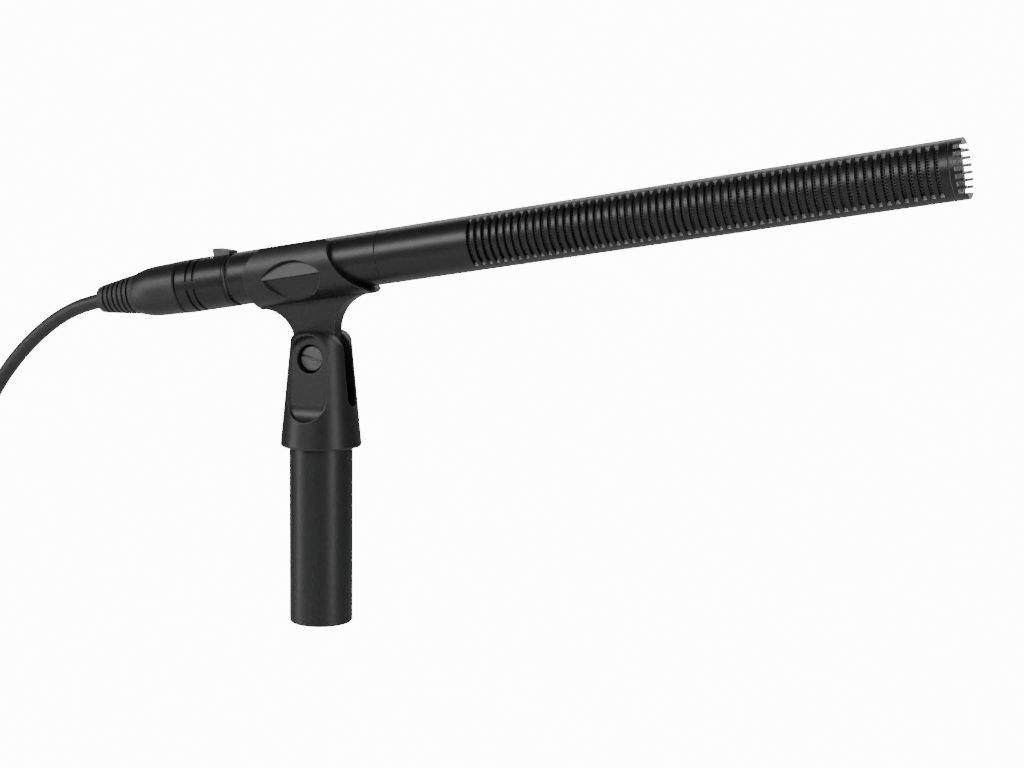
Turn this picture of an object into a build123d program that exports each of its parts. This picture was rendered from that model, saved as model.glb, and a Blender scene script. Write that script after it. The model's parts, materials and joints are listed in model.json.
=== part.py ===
"""Short shotgun microphone in a swivel clip on a short extension tube, with its plugged-in cable.

Units are millimetres, +Z is up. The origin is the mouth of the threaded socket in the tube's
lower end. The microphone lies in the XZ plane, its nose towards +X and tilted up a little.
"""
import math
import os

from build123d import *

# ---------------------------------------------------------------- driving dimensions
# microphone body
mic_diameter = 19.0
mic_length = 257.8            # rear rim to nose
mic_tilt = 9.46               # nose up, degrees
rear_body_length = 59.1       # rear rim to the seam with the slotted tube
rear_bore = 16.2              # bore of the rear body, which the plug's nose enters
tube_wall = 1.7               # wall of the slotted interference tube
slot_count = 59
slot_pitch = 2.68
slot_width = 1.4
slot_half_angle = 57.0        # each slot reaches this far above and below the side
first_slot = 94.8             # rear rim to the first slot's centre
bar_relief = 0.03             # the bars above and below the slots lie this far within the ribs' surfaces
nose_length = 4.0
nose_bore = 13.8
kerf_count = 7
kerf_width = 1.35
kerf_pitch = 2.25
kerf_depth = 2.5
mesh_wall = 0.3
spigot_length = 8.0

# capsule, from the rear rim
capsule_rear = 76.0
capsule_length = 12.0
capsule_diameter = 12.8
gasket_length = 3.0

# circuit board, from the rear rim
board_start = 22.5
board_length = 46.0
board_width = 12.6
board_thickness = 1.6
bulkhead_length = 2.5

# male socket in the tail
socket_depth = 14.2
insert_thickness = 7.0
pin_diameter = 2.36
pin_length = 11.5
pin_spread = 3.81             # half the distance between the two side pins
pin_drop = 2.6                # how far the third pin lies below the socket's centre

# cable plug (female)
plug_shell_length = 22.1
plug_diameter = 19.2
plug_nose_diameter = 16.0
plug_nose_length = 13.3
plug_bore = 13.9
plug_gasket = 1.2
collar_gap = 0.7
collar_length = 19.6
boot_length = 18.1
boot_rib_count = 6
boot_rib_pitch = 2.32
boot_groove = 0.95
latch_width = 6.0

# clip
barrel_wall = 2.4
barrel_rear = 20.0            # behind the pivot, along the microphone
barrel_front = 26.0
barrel_mouth = 15.2           # width of the opening the microphone snaps through
axis_height = 31.6            # pivot to the microphone's axis
blade_thickness = 5.7
blade_half_width = 8.0
fork_height = 41.5
fork_bottom_diameter = 28.8
fork_taper = 0.0965           # loss of radius for each millimetre of height
fork_gap = 6.2
fork_gap_bottom = 14.5
pivot_height = 31.5           # above the fork's bottom face
screw_diameter = 5.0
screw_head_diameter = 9.2
screw_head_height = 1.9
pocket_width = 15.0
pocket_bottom = 9.7
pocket_top = 40.0
pocket_floor_top = 7.2        # pocket floor's distance from the middle plane at the fork's top
pocket_floor_low = 9.9        # and where the ramp at its lower end begins
pocket_ramp_top = 15.0
ear_rounding = 10.2
ear_shoulder = 4.0

# stand
tube_diameter = 22.4
tube_length = 63.5
tube_wall_thickness = 1.6
thread_diameter = 15.875      # 5/8 inch, 27 threads to the inch
stud_length = 11.0
plug_depth = 16.0             # how far the stud's body reaches into the tube
socket_insert_length = 20.0
insert_diameter = 19.0        # brass thread insert in the fork

# cable
cable_diameter = 5.5
coil_radii = (25.0, 36.0)     # innermost and outermost turn, to the cable's centre
coil_half_width = 13.9
coil_drop = 20.0              # the coil's centre below the origin
line_plug_diameter = 19.0

# clearances
fit = 0.05                    # radial running fit
slide = 0.1                   # radial clearance of sliding and socketed pieces
side_gap = 0.25               # flat faces that turn or slide past each other

# ---------------------------------------------------------------- places worked out
mic_radius = mic_diameter / 2
rear_bore_radius = rear_bore / 2
tube_bore_radius = mic_radius - tube_wall
nose_joint = mic_length - nose_length
last_slot = first_slot + (slot_count - 1) * slot_pitch
plug_radius = plug_diameter / 2
plug_bore_radius = plug_bore / 2
pin_radius = pin_diameter / 2
barrel_radius = mic_radius + barrel_wall
fork_bottom = tube_length
pivot_z = fork_bottom + pivot_height
cable_radius = cable_diameter / 2
thread_radius = thread_diameter / 2
tube_bore = tube_diameter / 2 - tube_wall_thickness
tail_offset = 27.8            # the rear rim's distance behind the pivot, along the microphone

pivot = Vector(0, 0, pivot_z)
tilt = math.radians(mic_tilt)
along = Vector(math.cos(tilt), 0, math.sin(tilt))     # along the microphone, towards its nose
above = Vector(-math.sin(tilt), 0, math.cos(tilt))    # square to it, upwards
towards = Vector(0, -1, 0)                            # square to both, to the clip's screw side
clip_side = Plane(origin=pivot + above * axis_height, x_dir=along, z_dir=(0, -1, 0))
rear_rim = pivot + above * axis_height - along * tail_offset
side = Plane(origin=rear_rim, x_dir=along, z_dir=(0, -1, 0))
mic_axis = Axis(rear_rim, along)
stand_axis = Axis.Z


def across(station):
    """Plane square to the microphone's axis, at a distance from the rear rim, local y upwards."""
    return Plane(origin=rear_rim + along * station, x_dir=(0, 1, 0), z_dir=along)


def radial(turn):
    """Plane through the microphone's axis, local y turned from above towards the screw side."""
    outwards = above * math.cos(math.radians(turn)) + towards * math.sin(math.radians(turn))
    return Plane(origin=rear_rim, x_dir=along, z_dir=along.cross(outwards))


def outline(points, plane):
    """Closed polygon through points, as a face on plane."""
    with BuildSketch(plane) as flat:
        with BuildLine():
            Polyline(*points, close=True)
        make_face()
    return flat.sketch


def ring_outline(start, end, inner, outer, plane=side):
    """Rectangle from start to end along the axis, and from inner to outer away from it."""
    return outline([(start, inner), (end, inner), (end, outer), (start, outer)], plane)


def tube_outline(start, end, inner, outer, edge, plane=side):
    """The same, with the two outer corners broken by a small chamfer."""
    corners = [(end, outer - edge), (end - edge, outer), (start + edge, outer), (start, outer - edge)]
    return outline([(start, inner), (end, inner), *corners], plane)


def save(part, label):
    part.label = label
    export_step(part, f"parts/{label}.step")


os.makedirs("parts", exist_ok=True)

# ---------------------------------------------------------------- microphone: tubes
with BuildPart() as rear_body:
    revolve(tube_outline(0, rear_body_length, rear_bore_radius, mic_radius, 0.2), axis=mic_axis)
    with BuildSketch(across(0)):
        with Locations((0, rear_bore_radius)):
            Rectangle(latch_width - 2 + 2 * side_gap, 1.4)
    extrude(amount=9.0, mode=Mode.SUBTRACT)
    with BuildSketch(Plane(origin=rear_rim + along * (socket_depth + 3.5), x_dir=along, z_dir=-above)):
        Circle(1.25)
    extrude(amount=mic_radius + 1, mode=Mode.SUBTRACT)
save(rear_body.part, "rear_body")

# the slotted stretch repeats one step: two bars beside a pair of slots, then a full ring
slots_start = first_slot - slot_width / 2
slots_end = slots_start + slot_count * slot_pitch
bar_angle = 180 - 2 * slot_half_angle
with BuildPart() as slotted_step:
    bar_end = slots_start + slot_width
    for turn in (-bar_angle / 2, 180 - bar_angle / 2):
        bar = ring_outline(
            slots_start, bar_end, tube_bore_radius + bar_relief, mic_radius - bar_relief, radial(turn)
        )
        revolve(bar, axis=mic_axis, revolution_arc=bar_angle)
    full_ring = ring_outline(bar_end, slots_start + slot_pitch, tube_bore_radius, mic_radius)
    revolve(full_ring, axis=mic_axis)

spigot_radius = rear_bore_radius - fit
with BuildPart() as slotted_tube:
    revolve(
        outline(
            [
                (rear_body_length - spigot_length, spigot_radius - 1.1),
                (rear_body_length + 1, spigot_radius - 1.1),
                (rear_body_length + 1, tube_bore_radius),
                (slots_start, tube_bore_radius),
                (slots_start, mic_radius),
                (rear_body_length + 0.2, mic_radius),
                (rear_body_length, mic_radius - 0.2),
                (rear_body_length, spigot_radius),
                (rear_body_length - spigot_length, spigot_radius),
            ],
            side,
        ),
        axis=mic_axis,
    )
    add([slotted_step.part.moved(Location(along * (slot_pitch * step))) for step in range(slot_count)])
    end_ring = outline(
        [
            (slots_end, tube_bore_radius),
            (nose_joint, tube_bore_radius),
            (nose_joint, mic_radius - 0.2),
            (nose_joint - 0.2, mic_radius),
            (slots_end, mic_radius),
        ],
        side,
    )
    revolve(end_ring, axis=mic_axis)
save(slotted_tube.part, "slotted_tube")

mesh_start = first_slot - 3.0
mesh_end = nose_joint - 2.4
with BuildPart() as tube_mesh:
    mesh_radius = tube_bore_radius - fit
    revolve(ring_outline(mesh_start, mesh_end, mesh_radius - mesh_wall, mesh_radius), axis=mic_axis)
save(tube_mesh.part, "tube_mesh")

nose_bore_radius = nose_bore / 2
with BuildPart() as nose_ring:
    revolve(tube_outline(nose_joint, mic_length, nose_bore_radius, mic_radius, 0.2), axis=mic_axis)
    spigot_outer = tube_bore_radius - fit
    revolve(ring_outline(mesh_end + 0.1, nose_joint + 0.5, nose_bore_radius, spigot_outer), axis=mic_axis)
    with BuildSketch(across(mic_length)):
        with GridLocations(1, kerf_pitch, 1, kerf_count):
            Rectangle(mic_diameter + 2, kerf_width)
    extrude(amount=-kerf_depth, mode=Mode.SUBTRACT)
save(nose_ring.part, "nose_ring")

with BuildPart() as nose_mesh:
    revolve(ring_outline(nose_joint - 1.0, nose_joint - 0.6, 0, nose_bore_radius - fit), axis=mic_axis)
save(nose_mesh.part, "nose_mesh")

# ---------------------------------------------------------------- microphone: capsule
capsule_front = capsule_rear + capsule_length
capsule_radius = capsule_diameter / 2
can_wall = 0.8
lip = 1.2
with BuildPart() as capsule_can:
    revolve(
        outline(
            [
                (capsule_rear, capsule_radius - can_wall),
                (capsule_front - can_wall, capsule_radius - can_wall),
                (capsule_front - can_wall, capsule_radius - can_wall - lip),
                (capsule_front, capsule_radius - can_wall - lip),
                (capsule_front, capsule_radius),
                (capsule_rear, capsule_radius),
            ],
            side,
        ),
        axis=mic_axis,
    )
save(capsule_can.part, "capsule_can")

stack_radius = capsule_radius - can_wall - fit
diaphragm_front = capsule_front - can_wall - 0.1
with BuildPart() as diaphragm_ring:
    revolve(
        ring_outline(diaphragm_front - 0.9, diaphragm_front, stack_radius - 1.0, stack_radius), axis=mic_axis
    )
save(diaphragm_ring.part, "diaphragm_ring")

with BuildPart() as diaphragm:
    revolve(ring_outline(diaphragm_front - 1.1, diaphragm_front - 0.95, 0, stack_radius), axis=mic_axis)
save(diaphragm.part, "diaphragm")

spacer_rear = diaphragm_front - 1.4
with BuildPart() as diaphragm_spacer:
    revolve(
        ring_outline(spacer_rear, diaphragm_front - 1.15, stack_radius - 0.8, stack_radius), axis=mic_axis
    )
save(diaphragm_spacer.part, "diaphragm_spacer")

backplate_thickness = 1.4
backplate_front = spacer_rear - 0.05
with BuildPart() as backplate:
    revolve(
        ring_outline(backplate_front - backplate_thickness, backplate_front, 0, stack_radius - 0.6),
        axis=mic_axis,
    )
    with BuildSketch(across(backplate_front)):
        with PolarLocations(3.0, 6):
            Circle(0.45)
    extrude(amount=-backplate_thickness, mode=Mode.SUBTRACT)
save(backplate.part, "backplate")

insulator_front = backplate_front - backplate_thickness - 0.05
with BuildPart() as capsule_insulator:
    revolve(ring_outline(capsule_rear + 0.4, insulator_front, 1.2, stack_radius), axis=mic_axis)
    with BuildSketch(across(insulator_front)):
        Circle(stack_radius - 1.2)
    extrude(amount=-2.0, mode=Mode.SUBTRACT)
save(capsule_insulator.part, "capsule_insulator")

contact_rear = board_start + board_length + 0.5
with BuildPart() as capsule_contact:
    revolve(ring_outline(contact_rear, insulator_front, 0, 0.5), axis=mic_axis)
    revolve(ring_outline(insulator_front - 0.6, insulator_front, 0, 2.5), axis=mic_axis)
save(capsule_contact.part, "capsule_contact")

for label, start in (
    ("rear_gasket", capsule_rear + 0.5),
    ("front_gasket", capsule_front - gasket_length - 0.5),
):
    with BuildPart() as gasket:
        revolve(
            ring_outline(start, start + gasket_length, capsule_radius + fit, tube_bore_radius - fit),
            axis=mic_axis,
        )
    save(gasket.part, label)

# ---------------------------------------------------------------- microphone: electronics
board_end = board_start + board_length
board_top = -1.2
board_plane = Plane(origin=rear_rim + above * board_top, x_dir=along, z_dir=above)
with BuildPart() as circuit_board:
    with BuildSketch(board_plane):
        with Locations((board_start + board_length / 2, 0)):
            Rectangle(board_length, board_width)
    extrude(amount=-board_thickness)
save(circuit_board.part, "circuit_board")

slot_in_bulkhead = board_thickness + 0.1
with BuildPart() as board_bulkheads:
    for start in (board_start + 2, board_end - 2 - bulkhead_length):
        revolve(ring_outline(start, start + bulkhead_length, 0, spigot_radius - 1.1 - fit), axis=mic_axis)
    with BuildSketch(board_plane.offset(0.05)):
        with Locations((board_start + board_length / 2, 0)):
            Rectangle(board_length + 2, board_width + 0.1)
    extrude(amount=-slot_in_bulkhead, mode=Mode.SUBTRACT)
    with BuildSketch(side):
        with Locations((board_start + board_length / 2, 3.0)):
            Rectangle(board_length + 4, 4.0)
    extrude(amount=2.0, both=True, mode=Mode.SUBTRACT)
save(board_bulkheads.part, "board_bulkheads")

# parts on the board: each entry is (distance along the board, sideways place, length, width, height)
chips = ((14.0, 0.0, 5.0, 4.0, 1.6), (21.0, 3.2, 3.0, 2.6, 1.2), (37.0, -3.0, 3.0, 2.6, 1.2))
with BuildPart() as board_chips:
    for place, sideways, length, width, height in chips:
        with BuildSketch(board_plane):
            with Locations((board_start + place, sideways)):
                Rectangle(length, width)
        extrude(amount=height)
save(board_chips.part, "board_chips")

with BuildPart() as board_capacitors:
    for place, sideways in ((21.0, -2.6), (28.0, -2.6), (28.0, 2.6)):
        with BuildSketch(board_plane):
            with Locations((board_start + place, sideways)):
                Circle(2.0)
        extrude(amount=4.2)
save(board_capacitors.part, "board_capacitors")

with BuildPart() as board_resistors:
    for place in (9.5, 17.5, 33.0, 35.0):
        for sideways in (-4.8, 4.9):
            with BuildSketch(board_plane.offset(-board_thickness)):
                with Locations((board_start + place, sideways * 0.6)):
                    Rectangle(1.1, 2.0)
            extrude(amount=-0.6)
save(board_resistors.part, "board_resistors")

# ---------------------------------------------------------------- microphone: tail socket
pin_places = ((-pin_spread, 1.2), (pin_spread, 1.2), (0, -pin_drop))
insert_end = socket_depth + insert_thickness
with BuildPart() as socket_insert:
    revolve(ring_outline(socket_depth, insert_end, 0, rear_bore_radius - fit), axis=mic_axis)
    with BuildSketch(across(socket_depth)):
        with Locations(*pin_places):
            Circle(pin_radius + 0.02)
    extrude(amount=insert_thickness, mode=Mode.SUBTRACT)
    with BuildSketch(Plane(origin=rear_rim + along * (socket_depth + 3.5), x_dir=along, z_dir=-above)):
        Circle(1.05)
    extrude(amount=mic_radius, mode=Mode.SUBTRACT)
save(socket_insert.part, "socket_insert")

for number, (sideways, height) in enumerate(pin_places, start=1):
    with BuildPart() as pin:
        with BuildSketch(across(socket_depth - pin_length)):
            with Locations((sideways, height)):
                Circle(pin_radius)
        extrude(amount=pin_length + insert_thickness + 1.0)
        chamfer(pin.faces().sort_by(mic_axis)[0].edges(), 0.5)
    save(pin.part, f"socket_pin_{number}")

with BuildPart() as socket_screw:
    screw_plane = Plane(
        origin=rear_rim + along * (socket_depth + 3.5) - above * (mic_radius - 0.4),
        x_dir=along,
        z_dir=above,
    )
    with BuildSketch(screw_plane):
        Circle(1.0)
    extrude(amount=2.9)
    with BuildSketch(screw_plane):
        Rectangle(3.0, 0.35)
    extrude(amount=0.6, mode=Mode.SUBTRACT)
save(socket_screw.part, "socket_screw")

# ---------------------------------------------------------------- cable plug
shell_end = -plug_shell_length
nose_radius = plug_nose_diameter / 2
latch_slot = latch_width + 2 * side_gap
latch_slot_floor = 5.8        # the slots reach down to this distance from the axis
groove_places = (-14.35, -17.3)
lever_pivot = (-8.5, plug_radius - 0.9)
pad_half = latch_width / 2
with BuildPart() as plug_shell:
    revolve(
        outline(
            [
                (shell_end, plug_bore_radius),
                (plug_nose_length, plug_bore_radius),
                (plug_nose_length, nose_radius),
                (-plug_gasket - 0.1, nose_radius),
                (-plug_gasket - 0.1, plug_radius - 0.5),
                (-plug_gasket - 0.5, plug_radius),
                (shell_end, plug_radius),
            ],
            side,
        ),
        axis=mic_axis,
    )
    revolve(ring_outline(-2.7, -2.4, plug_radius - 0.2, plug_radius + 1), axis=mic_axis, mode=Mode.SUBTRACT)
    for turn in (-81, 99):
        with BuildSketch(radial(turn)):
            for place in groove_places:
                with Locations((place, plug_radius)):
                    Rectangle(1.0, 1.1)
        revolve(axis=mic_axis, revolution_arc=162, mode=Mode.SUBTRACT)
    with BuildSketch(across(-10.3)):
        with Locations((0, plug_radius)):
            Rectangle(latch_slot, 2 * (plug_radius - latch_slot_floor))
    extrude(amount=9.4, mode=Mode.SUBTRACT)
    with BuildSketch(side):
        with Locations(lever_pivot):
            Circle(0.6 + fit)
    extrude(amount=pad_half + 1.0 + fit, both=True, mode=Mode.SUBTRACT)
    with BuildSketch(across(-1.0)):
        with Locations((0, nose_radius)):
            Rectangle(latch_width - 2 + 2 * side_gap, 2 * (nose_radius - latch_slot_floor))
    extrude(amount=9.2, mode=Mode.SUBTRACT)
save(plug_shell.part, "plug_shell")

with BuildPart() as plug_gasket_ring:
    revolve(
        ring_outline(-plug_gasket, -0.02, nose_radius + fit, mic_radius - 0.6), axis=mic_axis
    )
    with BuildSketch(across(-plug_gasket)):
        with Locations((0, nose_radius)):
            Rectangle(latch_width - 2 + 2 * side_gap, 1.2)
    extrude(amount=plug_gasket, mode=Mode.SUBTRACT)
save(plug_gasket_ring.part, "plug_gasket")

insert_front = plug_nose_length - 0.4
insert_rear = -8.0
with BuildPart() as plug_insert:
    with BuildSketch(across(insert_rear)):
        Circle(plug_bore_radius - fit)
    extrude(amount=insert_front - insert_rear)
    with BuildSketch(across(insert_rear)):
        with Locations(*pin_places):
            Circle(1.75)
    extrude(amount=insert_front - insert_rear, mode=Mode.SUBTRACT)
    with BuildSketch(across(insert_rear - 0.1)):
        with Locations((0, plug_bore_radius)):
            Rectangle(latch_slot, 3.0)
    extrude(amount=insert_front - insert_rear + 0.2, mode=Mode.SUBTRACT)
save(plug_insert.part, "plug_insert")

with BuildPart() as plug_contacts:
    with BuildSketch(across(insert_rear - 3.0)):
        with Locations(*pin_places):
            Circle(1.7)
    extrude(amount=insert_front - 0.6 - insert_rear + 3.0)
    with BuildSketch(across(insert_front)):
        with Locations(*pin_places):
            Circle(pin_radius + slide)
    extrude(amount=-insert_front - 3.0, mode=Mode.SUBTRACT)
save(plug_contacts.part, "plug_contacts")

# latch: a lever with a thumb pad outside, an arm and a hook inside the socket
arm_half = (latch_width - 2) / 2
with BuildPart() as latch_lever:
    with BuildSketch(side):
        with BuildLine():
            Polyline(
                (-9.9, plug_radius - 0.4),
                (-8.1, plug_radius - 0.2),
                (-8.4, plug_radius + 2.2),
                (-7.7, plug_radius + 2.4),
                (-1.6, plug_radius + 0.75),
                (-1.6, plug_radius - 0.3),
                (-2.4, 8.25),
                (-7.0, 7.6),
                (-9.4, 7.6),
                (-9.9, 8.2),
                close=True,
            )
        make_face()
    extrude(amount=pad_half, both=True)
    with BuildSketch(side):
        with BuildLine():
            Polyline(
                (-4.0, 8.6),
                (-0.9, 7.9),
                (6.0, 7.9),
                (6.6, 8.55),
                (7.4, 8.55),
                (7.4, 7.1),
                (-4.0, 7.1),
                close=True,
            )
        make_face()
    extrude(amount=arm_half, both=True)
    with BuildSketch(side):
        with Locations(lever_pivot):
            Circle(0.6 + fit)
    extrude(amount=pad_half + 1, both=True, mode=Mode.SUBTRACT)
save(latch_lever.part, "latch_lever")

with BuildPart() as latch_pin:
    with BuildSketch(side):
        with Locations(lever_pivot):
            Circle(0.6)
    extrude(amount=pad_half + 1.0, both=True)
save(latch_pin.part, "latch_pin")

with BuildPart() as latch_spring:
    with BuildSketch(side):
        with BuildLine():
            Polyline((-7.4, 5.5), (-3.0, 5.5), (-6.4, 7.4), (-6.4, 7.1), (-4.0, 5.75), (-7.4, 5.75), close=True)
        make_face()
    extrude(amount=1.5, both=True)
save(latch_spring.part, "latch_spring")

# strain relief: chuck inside, hard collar and ribbed boot outside
chuck_radius = plug_bore_radius - slide
chuck_rear = shell_end - collar_gap - collar_length + 3.0
collar_bore = 5.6
with BuildPart() as plug_chuck:
    revolve(
        outline(
            [
                (-12.5, cable_radius + fit),
                (-12.5, chuck_radius),
                (shell_end - 1.0, chuck_radius),
                (shell_end - 4.0, collar_bore - slide),
                (chuck_rear, collar_bore - slide),
                (chuck_rear, cable_radius + fit),
            ],
            side,
        ),
        axis=mic_axis,
    )
    with BuildSketch(across(chuck_rear)):
        Rectangle(2 * plug_radius, 0.9)
        Rectangle(0.9, 2 * plug_radius)
    extrude(amount=9.0, mode=Mode.SUBTRACT)
save(plug_chuck.part, "plug_chuck")

collar_front = shell_end - collar_gap
collar_rear = collar_front - collar_length
boot_rear = collar_rear - boot_length
boot_front_radius = 7.8
boot_rear_radius = 5.3
with BuildPart() as plug_collar:
    with BuildSketch(side):
        with BuildLine():
            Polyline(
                (collar_rear, boot_front_radius),
                (collar_rear, collar_bore),
                (shell_end - 4.2, collar_bore),
                (shell_end - 1.0, chuck_radius + slide),
                (collar_front, chuck_radius + slide),
                (collar_front, plug_radius - 0.7),
                (collar_front - 0.7, plug_radius),
            )
            Spline(
                (collar_front - 0.7, plug_radius),
                (collar_front - 8.5, plug_radius - 0.35),
                (collar_front - 15.5, plug_radius - 0.85),
                (collar_rear, boot_front_radius),
            )
        make_face()
    revolve(axis=mic_axis)
save(plug_collar.part, "plug_collar")

with BuildPart() as plug_boot:
    revolve(
        outline(
            [
                (collar_rear - 0.02, boot_front_radius - 0.15),
                (collar_rear - 0.02, cable_radius + fit),
                (boot_rear, cable_radius + fit),
                (boot_rear, boot_rear_radius - 1.2),
                (boot_rear + 0.6, boot_rear_radius - 0.35),
                (boot_rear + 2.2, boot_rear_radius),
            ],
            side,
        ),
        axis=mic_axis,
    )
    for rib in range(boot_rib_count):
        centre = collar_rear - 2.5 - rib * boot_rib_pitch
        share = (collar_rear - centre) / boot_length
        radius = boot_front_radius + (boot_rear_radius - boot_front_radius) * share
        revolve(
            ring_outline(centre - boot_groove / 2, centre + boot_groove / 2, radius - 0.9, radius + 1),
            axis=mic_axis,
            mode=Mode.SUBTRACT,
        )
save(plug_boot.part, "plug_boot")

# ---------------------------------------------------------------- clip
# the barrel's free edges, in clip_side: along the microphone from the pivot, and above its axis
lens_left, lens_right = (-12.8, -1.6), (10.8, -2.2)
# how far in from the barrel's widest width: under the ridge, and at the grip's top and bottom
grip_step = 0.9
grip_top_depth = 2.3
grip_low_depth = 5.6
with BuildPart() as thumb_grips:
    with BuildSketch(clip_side):
        with BuildLine():
            ThreePointArc(lens_left, (-1.2, 3.3), lens_right)
            ThreePointArc(lens_right, (-1.0, -10.6), lens_left)
        make_face()
    extrude(amount=barrel_radius + 1, both=True)
    with BuildSketch(across(tail_offset - barrel_rear)):
        with BuildLine():
            Polyline(
                (-barrel_radius, -2.3),
                (-barrel_radius + grip_top_depth, 4.0),
                (barrel_radius - grip_top_depth, 4.0),
                (barrel_radius, -2.3),
                (barrel_radius - grip_step, -2.6),
                (barrel_radius - grip_low_depth, -10.9),
                (-barrel_radius + grip_low_depth, -10.9),
                (-barrel_radius + grip_step, -2.6),
                close=True,
            )
        make_face()
    extrude(amount=barrel_rear + barrel_front, mode=Mode.INTERSECT)

with BuildPart() as clip_holder:
    revolve(
        ring_outline(-barrel_rear, barrel_front, mic_radius - 1, barrel_radius, clip_side),
        axis=Axis(clip_side.origin, along),
    )
    with BuildSketch(clip_side):
        with BuildLine():
            ThreePointArc(lens_left, (-1.2, 3.3), lens_right)
            ThreePointArc(lens_right, (-1.0, -10.6), lens_left)
        make_face()
    extrude(amount=barrel_radius + 1, both=True, mode=Mode.SUBTRACT)
    add(thumb_grips.part)
    with BuildSketch(clip_side):
        with BuildLine():
            rear_arc = ThreePointArc(
                (-barrel_rear, -12.1), (-11.6, -15.65), (-blade_half_width, -24.2)
            )
            Polyline(rear_arc @ 1, (-blade_half_width, -axis_height), (blade_half_width, -axis_height))
            Line((blade_half_width, -axis_height), (blade_half_width, -25.6))
            front_arc = ThreePointArc((blade_half_width, -25.6), (12.2, -15.6), (21.8, -11.8))
            Polyline(front_arc @ 1, (21.8, -9.0), (-barrel_rear, -9.0), rear_arc @ 0)
        make_face()
        with Locations((0, -axis_height)):
            Circle(blade_half_width)
    extrude(amount=blade_thickness / 2, both=True)
    # the snap-in mouth along the top
    with BuildSketch(across(tail_offset - barrel_rear - 1)):
        with Locations((0, barrel_radius)):
            Rectangle(barrel_mouth, 2 * barrel_radius)
    extrude(amount=barrel_rear + barrel_front + 2, mode=Mode.SUBTRACT)
    # the front edge swept back in a hollow curve, and the rear edge's round upper corner
    with BuildSketch(clip_side):
        with BuildLine():
            scoop = ThreePointArc((13.6, 8.2), (17.2, -2.9), (22.6, -9.3))
            lip = ThreePointArc(scoop @ 1, (24.5, -10.6), (25.0, -12.6))
            Polyline(lip @ 1, (barrel_front + 1, -12.6), (barrel_front + 1, 13), (11.0, 13))
            Polyline((11.0, 13), (11.0, 9.9), (13.6, 8.2))
        make_face()
    extrude(amount=barrel_radius + 1, both=True, mode=Mode.SUBTRACT)
    with BuildSketch(clip_side):
        with BuildLine():
            corner = ThreePointArc((-barrel_rear, -1.0), (-17.3, 6.0), (-11.5, 9.6))
            Polyline(corner @ 1, (-11.5, 13), (-barrel_rear - 1, 13), (-barrel_rear - 1, -1.0), corner @ 0)
        make_face()
    extrude(amount=barrel_radius + 1, both=True, mode=Mode.SUBTRACT)
    # the microphone's bore and the pivot hole
    with BuildSketch(across(tail_offset - barrel_rear - 1)):
        Circle(mic_radius + fit)
    extrude(amount=barrel_rear + barrel_front + 2, mode=Mode.SUBTRACT)
    with BuildSketch(clip_side):
        with Locations((0, -axis_height)):
            Circle(screw_diameter / 2 + fit)
    extrude(amount=blade_thickness, both=True, mode=Mode.SUBTRACT)
save(clip_holder.part, "clip_holder")

front_face = Plane(origin=(0, 0, fork_bottom), x_dir=(1, 0, 0), z_dir=(0, -1, 0))
fork_radius = fork_bottom_diameter / 2
fork_top_radius = fork_radius - fork_taper * fork_height
insert_radius = insert_diameter / 2
insert_depth = fork_gap_bottom - 2.5
head_seat = 4.4
washer_height = 0.4
nut_across = 8.0
nut_thickness = 3.0
nut_seat = 4.4
head_clearance = 0.5          # radial, between the screw's head and its recess
# the pockets: round-ended, with a leaning floor that rises in a ramp at the lower end
with BuildPart() as pockets:
    with BuildSketch(front_face):
        with Locations((0, (pocket_bottom + pocket_top) / 2)):
            SlotOverall(pocket_top - pocket_bottom, pocket_width, rotation=90)
    extrude(amount=fork_radius + 1, both=True)
    with BuildSketch(Plane(origin=(0, 0, fork_bottom), x_dir=(0, 1, 0), z_dir=(1, 0, 0))):
        for hand in (1, -1):
            with BuildLine():
                Polyline(
                    (hand * (fork_radius - 0.7), pocket_bottom - 0.6),
                    (hand * (fork_radius + 2), pocket_bottom - 0.6),
                    (hand * (fork_radius + 2), fork_height + 1),
                    (hand * pocket_floor_top, fork_height + 1),
                    (hand * pocket_floor_low, pocket_ramp_top),
                )
                ThreePointArc(
                    (hand * pocket_floor_low, pocket_ramp_top),
                    (hand * (pocket_floor_low + 1.0), pocket_ramp_top - 3.7),
                    (hand * (fork_radius - 0.7), pocket_bottom - 0.6),
                )
            make_face()
    extrude(amount=pocket_width, both=True, mode=Mode.INTERSECT)

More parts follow.
